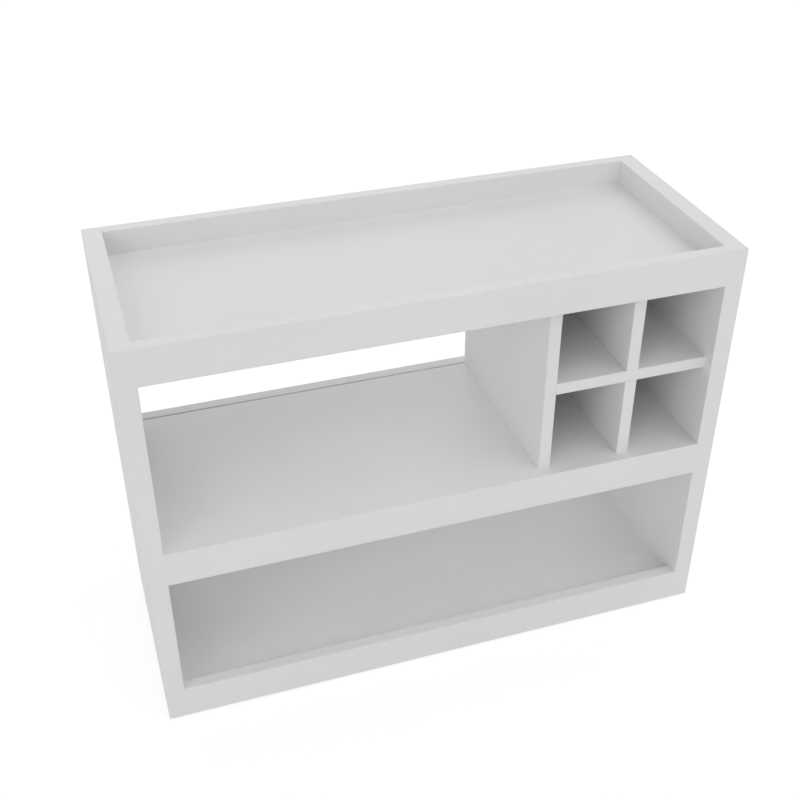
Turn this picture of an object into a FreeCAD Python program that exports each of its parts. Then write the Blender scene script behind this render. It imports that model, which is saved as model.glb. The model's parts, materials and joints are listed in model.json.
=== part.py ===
import FreeCAD, Part
import math
import os
from collections import namedtuple

# Open bar sideboard of white lacquered board, standing on four glides.
# Two thick sides carry three tiers, and each tier is a panel between a front and a rear rail:
# a tray on top, a middle shelf and a base. A rack of bottle cells stands at the right-hand end
# of the middle shelf, and stemware channels hang under its left-hand end.
# Millimetres. X runs to the right, Y to the back and Z up. The origin is on the floor,
# under the middle of the carcass.

V = FreeCAD.Vector
X_AXIS = V(1, 0, 0)
Y_AXIS = V(0, 1, 0)
Z_AXIS = V(0, 0, 1)

# Carcass
WIDTH = 940.0
DEPTH = 378.0
SIDE_THICK = 30.0
RAIL_THICK = 20.0
PANEL_THICK = 20.0
EDGE_EASE = 0.7            # arris taken off the open edges

# Heights, from the floor up
GLIDE_THICK = 3.0
BASE_CLEAR = 20.0          # under the base panel, down to the lower edge of the base rails
BASE_STEP = 20.0           # base rails above the base panel
LOWER_BAY = 225.0          # base rails to shelf rails
SHELF_SKIRT = 40.0         # shelf rails below the middle shelf
MIDDLE_BAY = 295.0         # middle shelf to the top rails
TRAY_DEPTH = 40.0          # top rails above the tray floor

# Bottle rack
CELL_WIDTH = 118.5
LOWER_CELL_HEIGHT = 139.0
DIVIDER_THICK = 20.0
LAP_PLAY = 0.15            # on each side of a board in its half-lap notch
RACK_BACK_THICK = 2.5
RACK_BACK_PLAY = 0.3       # between the rack's back and the rear rail, or the side

# Stemware channels, each a slot between two strips that hang on spacers
CHANNELS = 4
CHANNEL_PITCH = 85.0
CHANNEL_SLOT = 28.0
SPACER_WIDTH = 16.0
END_SPACER_WIDTH = 10.0
SPACER_HEIGHT = 26.0
STRIP_THICK = 10.0
STRIP_NOSE = 12.0          # corner cut off as a lead-in
LOADING_GAP = 108.0        # from the strips' rear ends to the rear rail

# Flats that stand in for the round of the small fittings and of their holes
FITTING_SIDES = 8
CAM_SIDES = 10
GLIDE_SIDES = 12

# Wooden dowels
DOWEL_DIAMETER = 8.0
DOWEL_PLAY = 0.1
DOWEL_END_GAP = 1.0
DOWEL_IN_FACE = 10.0       # depth in the face of a board
DOWEL_IN_SIDE = 15.0
DOWEL_IN_EDGE = 20.0       # depth in the edge or end of a board
RAIL_DOWEL_INSET = 15.0    # from the rail's long edges
EDGE_DOWEL_INSET = 140.0   # from the panel's ends
RACK_DOWEL_INSET = 60.0    # from the rack's front and back

# Cam fittings that draw the panels' ends to the sides
CAM_DIAMETER = 15.0
CAM_BACKSET = 24.0         # cam axis from the panel's end
CAM_INSET = 50.0           # cam axis from the panel's front and rear edges
CAM_PAST_BOLT = 4.5        # cam above the bolt's axis
CAM_PLAY = 0.1
PANEL_DOWEL_STEP = 32.0    # from cam to dowel
BOLT_DIAMETER = 7.0
BOLT_IN_SIDE = 12.0
BOLT_NECK_DIAMETER = 4.0
BOLT_NECK_LENGTH = 5.0
BOLT_HEAD_LENGTH = 3.0
BOLT_PLAY = 0.4            # around the bolt in the panel and in the cam
CAP_DIAMETER = 17.0
CAP_THICK = 1.2

# Screws
STRIP_SCREW_DIAMETER = 4.0
STRIP_SCREW_HEAD = 8.0
STRIP_SCREW_BITE = 12.0
STRIP_SCREW_INSET = 30.0   # from the strip's ends
BACK_SCREW_DIAMETER = 3.5
BACK_SCREW_HEAD = 7.0
BACK_SCREW_HEAD_THICK = 2.2
BACK_SCREW_BITE = 12.0
BACK_SCREW_INSET = 40.0    # from the shelf below and the tray above
SCREW_PLAY = 0.1

# Glides
GLIDE_DIAMETER = 22.0
GLIDE_INSET = 40.0         # from the front and rear faces
GLIDE_CHAMFER = 1.0
NAIL_DIAMETER = 2.5
NAIL_HEAD_DIAMETER = 6.4
NAIL_HEAD_THICK = 1.0
NAIL_RECESS = 0.5          # nail head above the floor
NAIL_IN_SIDE = 16.0
NAIL_PLAY = 0.1

# Inner faces of the carcass
X_IN = WIDTH / 2 - SIDE_THICK
Y_FRONT = -DEPTH / 2
Y_REAR = DEPTH / 2
Y_IN_FRONT = Y_FRONT + RAIL_THICK
Y_IN_REAR = Y_REAR - RAIL_THICK
Y_RACK_BACK = Y_IN_REAR - RACK_BACK_PLAY - RACK_BACK_THICK
ACROSS = (-X_IN, X_IN)

# Levels of the tiers
Z_FOOT = GLIDE_THICK
Z_BASE_PANEL = Z_FOOT + BASE_CLEAR + PANEL_THICK
Z_BASE_RAIL = Z_BASE_PANEL + BASE_STEP
Z_SKIRT = Z_BASE_RAIL + LOWER_BAY
Z_SHELF_UNDER = Z_SKIRT + SHELF_SKIRT
Z_SHELF = Z_SHELF_UNDER + PANEL_THICK
Z_TRAY_UNDER = Z_SHELF + MIDDLE_BAY
Z_TRAY_FLOOR = Z_TRAY_UNDER + PANEL_THICK
Z_TOP = Z_TRAY_FLOOR + TRAY_DEPTH

Tier = namedtuple("Tier", "rails rail_bottom rail_top panel panel_top panel_rear")
TIERS = (
    Tier("top", Z_TRAY_UNDER, Z_TOP, "tray_floor", Z_TRAY_FLOOR, Y_IN_REAR),
    Tier("shelf", Z_SKIRT, Z_SHELF, "middle_shelf", Z_SHELF, Y_RACK_BACK),
    Tier("base", Z_FOOT, Z_BASE_RAIL, "base_panel", Z_BASE_PANEL, Y_IN_REAR),
)
SIDES = (("left_side", -1), ("right_side", 1))

boards = {}    # board's name: its solid
bores = {}     # board's name: the holes drilled in it
fittings = {}  # fitting's name: its separate solids


def board(x_range, y_range, z_range):
    """Plain board between three (low, high) ranges."""
    low, high = (V(*corner) for corner in zip(x_range, y_range, z_range))
    size = high - low
    return Part.makeBox(size.x, size.y, size.z, low)


def runs_along(edge, axis):
    """True for a straight edge parallel to the axis."""
    return abs(edge.tangentAt(edge.FirstParameter).dot(axis)) > 0.999


def eased(shape, *axes):
    """Board with the arris taken off its edges along the given axes, as is done before lacquering."""
    edges = [edge for edge in shape.Edges if any(runs_along(edge, axis) for axis in axes)]
    return shape.makeChamfer(EDGE_EASE, edges)


def turned(outline, origin, direction, sides=FITTING_SIDES):
    """Many-sided turned solid: a closed outline of (radius, height) points carried round an axis.

    It stands at the origin, with its heights along the direction.
    """
    turn = math.tau / sides
    flats = []
    for start, end in zip(outline, outline[1:] + outline[:1]):
        if start[0] == 0 and end[0] == 0:
            continue
        for side in range(sides):
            corners = [ring_point(start, side * turn), ring_point(end, side * turn)]
            if end[0] > 0:
                corners.append(ring_point(end, (side + 1) * turn))
            if start[0] > 0:
                corners.append(ring_point(start, (side + 1) * turn))
            flats.append(Part.Face(Part.makePolygon(corners + corners[:1])))
    solid = Part.Solid(Part.Shell(flats))
    solid.Placement = FreeCAD.Placement(origin, FreeCAD.Rotation(Z_AXIS, direction))
    return solid


def ring_point(outline_point, angle):
    """Point of a turned outline at an angle about the axis."""
    radius, height = outline_point
    return V(radius * math.cos(angle), radius * math.sin(angle), height)


def rod(diameter, length, origin, direction, sides=FITTING_SIDES):
    """Many-sided rod, or the hole that takes one."""
    radius = diameter / 2
    return turned([(0, 0), (radius, 0), (radius, length), (0, length)], origin, direction, sides)


def drill(names, hole):
    """Notes a hole for each of the named boards."""
    for name in names:
        bores.setdefault(name, []).append(hole)


def fit(name, solid):
    """Adds one more solid to the named fitting."""
    fittings.setdefault(name, []).append(solid)


def inset_pair(low, high, inset):
    """The two places that lie an inset inside a range."""
    return low + inset, high - inset


def dowel(name, joint, direction, pieces, behind, ahead):
    """Dowel across a joint face, with a blind hole in the piece behind it and in the one ahead."""
    start = joint - direction * behind
    length = behind + ahead
    fit(name, rod(DOWEL_DIAMETER, length, start, direction))
    hole_start = start - direction * DOWEL_END_GAP
    hole_diameter = DOWEL_DIAMETER + 2 * DOWEL_PLAY
    drill(pieces, rod(hole_diameter, length + 2 * DOWEL_END_GAP, hole_start, direction))


def cam_fitting(panel, side, joint, direction, under):
    """Bolt in the side, cam in the panel's underside that grips it, and the cap that hides the cam."""
    head_end = BOLT_IN_SIDE + CAM_BACKSET + BOLT_HEAD_LENGTH / 2
    cam_bolt(side, joint - direction * BOLT_IN_SIDE, direction, head_end)

    way_length = head_end - BOLT_IN_SIDE + BOLT_PLAY
    bolt_way = rod(BOLT_DIAMETER + 2 * BOLT_PLAY, way_length, joint, direction)
    axis_point = joint + direction * CAM_BACKSET
    foot = V(axis_point.x, axis_point.y, under)
    height = axis_point.z + CAM_PAST_BOLT - under
    drill([panel], bolt_way)
    drill([panel], rod(CAM_DIAMETER + 2 * CAM_PLAY, height + CAM_PLAY, foot, Z_AXIS, CAM_SIDES))

    cam = rod(CAM_DIAMETER, height, foot, Z_AXIS, CAM_SIDES)
    fit("cam_housings", cam.cut(bolt_way).Solids[0])

    fit("cam_caps", rod(CAP_DIAMETER, CAP_THICK, foot, -Z_AXIS, CAM_SIDES))


def cam_bolt(side, start, direction, head_end):
    """Bolt of a cam fitting, screwed into the side, with a neck that the cam grips behind its head."""
    shank = BOLT_DIAMETER / 2
    neck = BOLT_NECK_DIAMETER / 2
    neck_end = head_end - BOLT_HEAD_LENGTH
    shank_end = neck_end - BOLT_NECK_LENGTH
    outline = [
        (0, 0),
        (shank, 0),
        (shank, shank_end),
        (neck, shank_end),
        (neck, neck_end),
        (shank, neck_end),
        (shank, head_end),
        (0, head_end),
    ]
    fit("cam_bolts", turned(outline, start, direction))
    drill([side], rod(BOLT_DIAMETER + 2 * SCREW_PLAY, BOLT_IN_SIDE, start, direction))


def make_carcass():
    """Sides, and the rails and panel of each tier, doweled together and drawn up by cams."""
    for side, end in SIDES:
        faces = sorted((end * X_IN, end * WIDTH / 2))
        boards[side] = eased(board(faces, (Y_FRONT, Y_REAR), (Z_FOOT, Z_TOP)), X_AXIS, Y_AXIS, Z_AXIS)
    for tier in TIERS:
        make_tier(tier)


def make_tier(tier):
    """Front rail, rear rail and panel of one tier, with their joints to the sides and each other."""
    rail_z = (tier.rail_bottom, tier.rail_top)
    panel_z = (tier.panel_top - PANEL_THICK, tier.panel_top)
    front_rail = f"{tier.rails}_front_rail"
    rear_rail = f"{tier.rails}_rear_rail"
    boards[front_rail] = eased(board(ACROSS, (Y_FRONT, Y_IN_FRONT), rail_z), X_AXIS)
    boards[rear_rail] = eased(board(ACROSS, (Y_IN_REAR, Y_REAR), rail_z), X_AXIS)
    boards[tier.panel] = board(ACROSS, (Y_IN_FRONT, tier.panel_rear), panel_z)

    rail_middles = ((front_rail, Y_FRONT + RAIL_THICK / 2), (rear_rail, Y_REAR - RAIL_THICK / 2))
    panel_y = (Y_IN_FRONT, tier.panel_rear)
    panel_middle = tier.panel_top - PANEL_THICK / 2
    for side, end in SIDES:
        outward = X_AXIS * end
        for rail, y in rail_middles:
            for z in inset_pair(*rail_z, RAIL_DOWEL_INSET):
                joint = V(end * X_IN, y, z)
                dowel("rail_dowels", joint, outward, (rail, side), DOWEL_IN_EDGE, DOWEL_IN_SIDE)
        for y in inset_pair(*panel_y, CAM_INSET):
            cam_fitting(tier.panel, side, V(end * X_IN, y, panel_middle), -outward, panel_z[0])
        for y in inset_pair(*panel_y, CAM_INSET + PANEL_DOWEL_STEP):
            joint = V(end * X_IN, y, panel_middle)
            dowel("panel_dowels", joint, outward, (tier.panel, side), DOWEL_IN_EDGE, DOWEL_IN_SIDE)

    rail_joints = [(front_rail, Y_IN_FRONT, -Y_AXIS)]
    if tier.panel_rear == Y_IN_REAR:
        rail_joints.append((rear_rail, Y_IN_REAR, Y_AXIS))
    for rail, y, outward in rail_joints:
        for x in (*inset_pair(*ACROSS, EDGE_DOWEL_INSET), 0):
            joint = V(x, y, panel_middle)
            dowel("edge_dowels", joint, outward, (tier.panel, rail), DOWEL_IN_EDGE, DOWEL_IN_FACE)


def make_bottle_rack():
    """Two uprights and a cross shelf, half-lapped into each other, with a thin back."""
    rack_y = (Y_IN_FRONT, Y_RACK_BACK)
    lap_y = sum(rack_y) / 2
    centre_x = (X_IN - CELL_WIDTH - DIVIDER_THICK, X_IN - CELL_WIDTH)
    left_x = tuple(x - CELL_WIDTH - DIVIDER_THICK for x in centre_x)
    upright_z = (Z_SHELF, Z_TRAY_UNDER)
    cross_z = (Z_SHELF + LOWER_CELL_HEIGHT, Z_SHELF + LOWER_CELL_HEIGHT + DIVIDER_THICK)
    uprights = {"rack_left_divider": left_x, "rack_centre_divider": centre_x}
    for name, x_range in uprights.items():
        boards[name] = eased(board(x_range, rack_y, upright_z), Z_AXIS)
    boards["rack_cross_shelf"] = eased(board((left_x[1], X_IN), rack_y, cross_z), X_AXIS)

    # The centre divider is notched from the front and the cross shelf from the back
    notch_z = (cross_z[0] - LAP_PLAY, cross_z[1] + LAP_PLAY)
    notch_x = (centre_x[0] - LAP_PLAY, centre_x[1] + LAP_PLAY)
    drill(["rack_centre_divider"], board(centre_x, (Y_IN_FRONT, lap_y), notch_z))
    drill(["rack_cross_shelf"], board(notch_x, (lap_y, Y_RACK_BACK), cross_z))

    cross_middle = sum(cross_z) / 2
    for y in inset_pair(*rack_y, RACK_DOWEL_INSET):
        for name, x_range in uprights.items():
            x = sum(x_range) / 2
            foot = V(x, y, Z_SHELF)
            head = V(x, y, Z_TRAY_UNDER)
            dowel("rack_dowels", foot, Z_AXIS, ("middle_shelf", name), DOWEL_IN_FACE, DOWEL_IN_EDGE)
            dowel("rack_dowels", head, Z_AXIS, (name, "tray_floor"), DOWEL_IN_EDGE, DOWEL_IN_FACE)
        left_end = V(left_x[1], y, cross_middle)
        right_end = V(X_IN, y, cross_middle)
        left_pieces = ("rack_left_divider", "rack_cross_shelf")
        right_pieces = ("rack_cross_shelf", "right_side")
        dowel("rack_dowels", left_end, X_AXIS, left_pieces, DOWEL_IN_FACE, DOWEL_IN_EDGE)
        dowel("rack_dowels", right_end, X_AXIS, right_pieces, DOWEL_IN_EDGE, DOWEL_IN_FACE)

    # The back stands in the slot between the middle shelf and its rear rail
    back_x = (left_x[0], X_IN - RACK_BACK_PLAY)
    back_rear = Y_RACK_BACK + RACK_BACK_THICK
    boards["rack_back"] = board(back_x, (Y_RACK_BACK, back_rear), (Z_SHELF_UNDER, Z_TRAY_UNDER))
    for name, x_range in uprights.items():
        for z in inset_pair(*upright_z, BACK_SCREW_INSET):
            back_screw(V(sum(x_range) / 2, back_rear, z), name)
    for cell_left in (left_x[1], centre_x[1]):
        back_screw(V(cell_left + CELL_WIDTH / 2, back_rear, cross_middle), "rack_cross_shelf")


def back_screw(seat, name):
    """Cheese-head screw through the rack's back into the rear edge of the named board."""
    radius = BACK_SCREW_DIAMETER / 2
    head_radius = BACK_SCREW_HEAD / 2
    length = RACK_BACK_THICK + BACK_SCREW_BITE
    outline = [
        (0, -BACK_SCREW_HEAD_THICK),
        (head_radius, -BACK_SCREW_HEAD_THICK),
        (head_radius, 0),
        (radius, 0),
        (radius, length - BACK_SCREW_DIAMETER),
        (0, length),
    ]
    fit("rack_back_screws", turned(outline, seat, -Y_AXIS))
    drill(["rack_back", name], rod(BACK_SCREW_DIAMETER + 2 * SCREW_PLAY, length, seat, -Y_AXIS))


def make_stemware_channels():
    """Strips on spacers under the middle shelf, with a slot for the stems between each two."""
    half_gap = (CHANNEL_PITCH - SPACER_WIDTH) / 2
    left_limit = -X_IN
    first_slot = left_limit + END_SPACER_WIDTH + half_gap
    slots = [first_slot + count * CHANNEL_PITCH for count in range(CHANNELS)]
    right_limit = slots[-1] + half_gap + END_SPACER_WIDTH
    spacer_lefts = [left_limit] + [x + half_gap for x in slots]
    spacer_rights = [x - half_gap for x in slots] + [right_limit]
    strip_lefts = [left_limit] + [x + CHANNEL_SLOT / 2 for x in slots]
    strip_rights = [x - CHANNEL_SLOT / 2 for x in slots] + [right_limit]

    strip_y = (Y_IN_FRONT, Y_IN_REAR - LOADING_GAP)
    strip_top = Z_SHELF_UNDER - SPACER_HEIGHT
    strip_z = (strip_top - STRIP_THICK, strip_top)
    spacers = zip(spacer_lefts, spacer_rights)
    strips = zip(strip_lefts, strip_rights)
    for number, (spacer_x, strip_x) in enumerate(zip(spacers, strips), start=1):
        spacer = f"stemware_spacer_{number}"
        strip = f"stemware_strip_{number}"
        boards[spacer] = board(spacer_x, strip_y, (strip_top, Z_SHELF_UNDER))
        open_sides = [x for x in strip_x if x not in (left_limit, right_limit)]
        boards[strip] = nosed(board(strip_x, strip_y, strip_z), open_sides, strip_y[1])
        for y in inset_pair(*strip_y, STRIP_SCREW_INSET):
            strip_screw(V(sum(spacer_x) / 2, y, strip_z[0]), (strip, spacer, "middle_shelf"))


def nosed(strip, open_sides, rear):
    """Strip with its rear corners cut off on the sides that face a channel."""
    corners = []
    for edge in strip.Edges:
        middle = edge.CenterOfMass
        at_rear = abs(middle.y - rear) < EDGE_EASE
        at_channel = any(abs(middle.x - x) < EDGE_EASE for x in open_sides)
        if runs_along(edge, Z_AXIS) and at_rear and at_channel:
            corners.append(edge)
    return strip.makeChamfer(STRIP_NOSE, corners)


def strip_screw(seat, pieces):
    """Countersunk screw up through a strip and its spacer into the middle shelf."""
    radius = STRIP_SCREW_DIAMETER / 2
    head_radius = STRIP_SCREW_HEAD / 2
    length = STRIP_THICK + SPACER_HEIGHT + STRIP_SCREW_BITE
    flank = [
        (head_radius, 0),
        (radius, head_radius - radius),
        (radius, length - STRIP_SCREW_DIAMETER),
    ]
    axis = [(0, length), (0, 0)]
    fit("stemware_screws", turned(flank + axis, seat, Z_AXIS))
    wider = [(across + SCREW_PLAY, height) for across, height in flank]
    drill(pieces, turned(wider + axis, seat, Z_AXIS))


def make_glides():
    """Round glides nailed under the sides."""
    hole_radius = NAIL_DIAMETER / 2 + NAIL_PLAY
    recess_radius = NAIL_HEAD_DIAMETER / 2 + NAIL_PLAY
    head_top = NAIL_RECESS + NAIL_HEAD_THICK
    radius = GLIDE_DIAMETER / 2
    glide = [
        (recess_radius, 0),
        (radius - GLIDE_CHAMFER, 0),
        (radius, GLIDE_CHAMFER),
        (radius, GLIDE_THICK),
        (hole_radius, GLIDE_THICK),
        (hole_radius, head_top),
        (recess_radius, head_top),
    ]
    nail_end = GLIDE_THICK + NAIL_IN_SIDE
    nail = [
        (0, NAIL_RECESS),
        (NAIL_HEAD_DIAMETER / 2, NAIL_RECESS),
        (NAIL_HEAD_DIAMETER / 2, head_top),
        (NAIL_DIAMETER / 2, head_top),
        (NAIL_DIAMETER / 2, nail_end - NAIL_DIAMETER),
        (0, nail_end),
    ]
    for side, end in SIDES:
        for y in inset_pair(Y_FRONT, Y_REAR, GLIDE_INSET):
            centre = V(end * (WIDTH - SIDE_THICK) / 2, y, 0)
            fit("floor_glides", turned(glide, centre, Z_AXIS, GLIDE_SIDES))
            fit("glide_nails", turned(nail, centre, Z_AXIS))
            drill([side], rod(2 * hole_radius, nail_end, centre, Z_AXIS))


def export_nodes():
    """Drills the boards and writes every board and every set of fittings to its own file."""
    os.makedirs("parts", exist_ok=True)
    nodes = {}
    for name, shape in boards.items():
        drilled = shape.cut(bores[name]) if name in bores else shape
        nodes[name] = drilled.Solids[0]
    for name, solids in fittings.items():
        nodes[name] = Part.makeCompound(solids)
    for name, shape in nodes.items():
        shape.exportStep(f"parts/{name}.step")
    print(len(nodes), "nodes,", sum(len(shape.Solids) for shape in nodes.values()), "solids")


make_carcass()
make_bottle_rack()
make_stemware_channels()
make_glides()
export_nodes()
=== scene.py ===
"""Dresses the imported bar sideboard: lacquered boards, turned fittings and a plain studio."""

import json
import logging
import math
from abc import ABC, abstractmethod
from collections.abc import Iterable, Iterator, Mapping
from dataclasses import dataclass
from enum import Enum
from functools import cache
from typing import Any

import bmesh
import bpy
from mathutils import Matrix, Vector


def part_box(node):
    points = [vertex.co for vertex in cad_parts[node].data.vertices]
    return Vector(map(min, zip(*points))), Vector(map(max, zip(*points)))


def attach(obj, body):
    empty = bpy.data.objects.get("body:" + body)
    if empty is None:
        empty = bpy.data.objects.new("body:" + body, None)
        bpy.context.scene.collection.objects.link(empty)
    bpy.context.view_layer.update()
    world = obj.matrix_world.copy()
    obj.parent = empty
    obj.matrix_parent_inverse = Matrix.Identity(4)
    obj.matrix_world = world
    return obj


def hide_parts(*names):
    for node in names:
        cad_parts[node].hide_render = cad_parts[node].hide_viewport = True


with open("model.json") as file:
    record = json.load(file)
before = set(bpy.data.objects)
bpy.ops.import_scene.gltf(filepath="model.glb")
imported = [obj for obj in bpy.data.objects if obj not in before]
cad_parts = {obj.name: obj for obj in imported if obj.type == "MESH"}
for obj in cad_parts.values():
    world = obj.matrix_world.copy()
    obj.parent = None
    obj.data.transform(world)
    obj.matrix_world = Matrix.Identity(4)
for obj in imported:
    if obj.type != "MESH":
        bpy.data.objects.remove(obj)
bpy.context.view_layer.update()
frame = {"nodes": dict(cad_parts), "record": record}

LOG = logging.getLogger("bar_sideboard")
BODY = "root"
SLOTS: dict[str, str] = {
    part["node"]: part["material_slot"] for part in frame["record"]["subparts"]
}
BOARD_SLOT = "white_lacquer"

MERGE_DISTANCE = 1e-5      # vertices closer than this are one point
FINE_MERGE = 1e-6          # the same on a fitting, whose edges are short
BOX_DIGITS = 4             # decimals, in metres, by which solids are put in order
STEP = 2e-5                # height of a square shoulder on a turned fitting
POINT_RADIUS = 1e-4        # blunt end of a screw or nail
JOINT_GAP = 4e-4           # boards closer than this are joined
SHARP_ANGLE = math.radians(35)

Colour = tuple[float, float, float, float]
Box = tuple[Vector, Vector]
Outline = tuple[tuple[float, float], ...]
Stations = dict[str, tuple[float, float]]


class Axis(Enum):
    """Directions of the frame, each with the index of its coordinate."""

    X = 0
    Y = 1
    Z = 2

    def unit(self) -> Vector:
        """Gives the unit vector along the axis."""
        return Vector([float(index == self.value) for index in range(3)])


class Heading(Enum):
    """Ways in which a fitting can run from its head."""

    UP = "up"
    FORWARD = "forward"
    INWARD = "inward"
    LENGTHWISE = "lengthwise"

    def axis(self, box: Box) -> Vector:
        """Finds the way that one fitting runs.

        Args:
            box: Lowest and highest corner of the fitting.

        Returns:
            A unit vector from the fitting's head.
        """
        low, high = box
        if self is Heading.UP:
            return Axis.Z.unit()
        if self is Heading.FORWARD:
            return -Axis.Y.unit()
        if self is Heading.INWARD:
            return Axis.X.unit() * -math.copysign(1, low.x + high.x)
        size = high - low
        return max(Axis, key=lambda axis: size[axis.value]).unit()


class Size(Enum):
    """Sizes that a turned outline has at every station."""

    HEIGHT = "height"
    RADIUS = "radius"

    def at(self, station: str) -> str:
        """Names the input that takes this size at a station."""
        return f"{station} {self.value}"


class Drive(Enum):
    """Recesses in the head of a fitting."""

    NONE = "none"
    CROSS = "cross"
    BORE = "bore"


@dataclass(frozen=True)
class NodeWeb:
    """Adds nodes to a tree and links them in one step.

    Attributes:
        tree: Node tree that grows.
    """

    tree: bpy.types.NodeTree

    @staticmethod
    def pick(
        sockets: Iterable[bpy.types.NodeSocket], key: str | int = 0
    ) -> bpy.types.NodeSocket:
        """Finds a socket among those that the node has in use.

        Args:
            sockets: Inputs or outputs of a node.
            key: The socket's name, or its place among those in use.

        Returns:
            The socket.
        """
        used = [socket for socket in sockets if socket.enabled]
        if isinstance(key, int):
            return used[key]
        return next(socket for socket in used if socket.name == key)

    def feed(self, socket: bpy.types.NodeSocket, value: Any) -> None:
        """Links a socket, or sets its value.

        Args:
            socket: Input that takes the value.
            value: A socket, a node whose first output is meant, a list of these, or a plain value.
        """
        if isinstance(value, list):
            for single in value:
                self.feed(socket, single)
        elif isinstance(value, bpy.types.Node):
            self.tree.links.new(self.pick(value.outputs), socket)
        elif isinstance(value, bpy.types.NodeSocket):
            self.tree.links.new(value, socket)
        else:
            socket.default_value = value

    def add(
        self, kind: str, inputs: Mapping[str | int, Any] | None = None, **settings: Any
    ) -> bpy.types.Node:
        """Adds a node and feeds it.

        Args:
            kind: Blender's name for the type of node.
            inputs: What each input takes, by name or place.
            **settings: The node's own properties, set first because they decide on its sockets.

        Returns:
            The new node.
        """
        node = self.tree.nodes.new(kind)
        for name, value in settings.items():
            setattr(node, name, value)
        for key, value in (inputs or {}).items():
            self.feed(self.pick(node.inputs, key), value)
        return node

    def math(self, operation: str, first: Any, second: Any) -> bpy.types.Node:
        """Adds a node that reckons with two numbers."""
        return self.add("ShaderNodeMath", {0: first, 1: second}, operation=operation)

    def tint(self, factor: Any, first: Any, second: Any) -> bpy.types.NodeSocket:
        """Adds a node that mixes two colours, and gives its output."""
        inputs = {"Factor": factor, "A": first, "B": second}
        return self.pick(self.add("ShaderNodeMix", inputs, data_type="RGBA").outputs)

    def bump(self, height: Any, depth: float) -> bpy.types.Node:
        """Adds a bump made from a height."""
        return self.add("ShaderNodeBump", {"Height": height, "Distance": depth})

    def place(self) -> bpy.types.NodeSocket:
        """Adds the place of a point in the frame."""
        return self.add("ShaderNodeTexCoord").outputs["Object"]

    def stored(self, name: str, output: str) -> bpy.types.NodeSocket:
        """Adds an attribute that the mesh holds."""
        return self.add("ShaderNodeAttribute", attribute_name=name).outputs[output]


@dataclass(frozen=True)
class Mottle:
    """Noise of a wanted size and contrast.

    Attributes:
        scale: Patches per metre.
        detail: Layers of finer noise.
        roughness: Strength of each finer layer.
        span: Heights of the noise that become the ends of its range.
    """

    scale: float
    detail: float = 2.0
    roughness: float = 0.5
    span: tuple[float, float] = (0.3, 0.7)

    def height(self, web: NodeWeb, place: Any) -> bpy.types.Node:
        """Adds the plain noise.

        Args:
            web: Tree of a material.
            place: Where the noise is read.

        Returns:
            The node that gives its height.
        """
        return web.add(
            "ShaderNodeTexNoise",
            {
                "Vector": place,
                "Scale": self.scale,
                "Detail": self.detail,
                "Roughness": self.roughness,
            },
        )

    def ranged(
        self, web: NodeWeb, place: Any, ends: tuple[float, float] = (0.0, 1.0)
    ) -> bpy.types.Node:
        """Adds the noise, stretched from one end to the other.

        Args:
            web: Tree of a material.
            place: Where the noise is read.
            ends: Lowest and highest value that it gives.

        Returns:
            The node that gives this value.
        """
        inputs = dict(zip(("From Min", "From Max", "To Min", "To Max"), self.span + ends))
        return web.add("ShaderNodeMapRange", {"Value": self.height(web, place), **inputs})


@dataclass(frozen=True)
class Finish(ABC):
    """Finish of a surface.

    Attributes:
        name: Name of its material.
    """

    name: str

    def material(self) -> bpy.types.Material:
        """Makes the finish's material, or finds it where it is made already.

        Returns:
            The material.
        """
        found = bpy.data.materials.get(self.name)
        if found:
            return found
        made = bpy.data.materials.new(self.name)
        made.use_nodes = True
        made.node_tree.nodes.clear()
        web = NodeWeb(made.node_tree)
        web.add("ShaderNodeOutputMaterial", {"Surface": self.shader(web)})
        return made

    @abstractmethod
    def shader(self, web: NodeWeb) -> bpy.types.Node:
        """Adds the finish's nodes to its material.

        Args:
            web: The material's tree.

        Returns:
            The node that shades the surface.
        """


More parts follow.
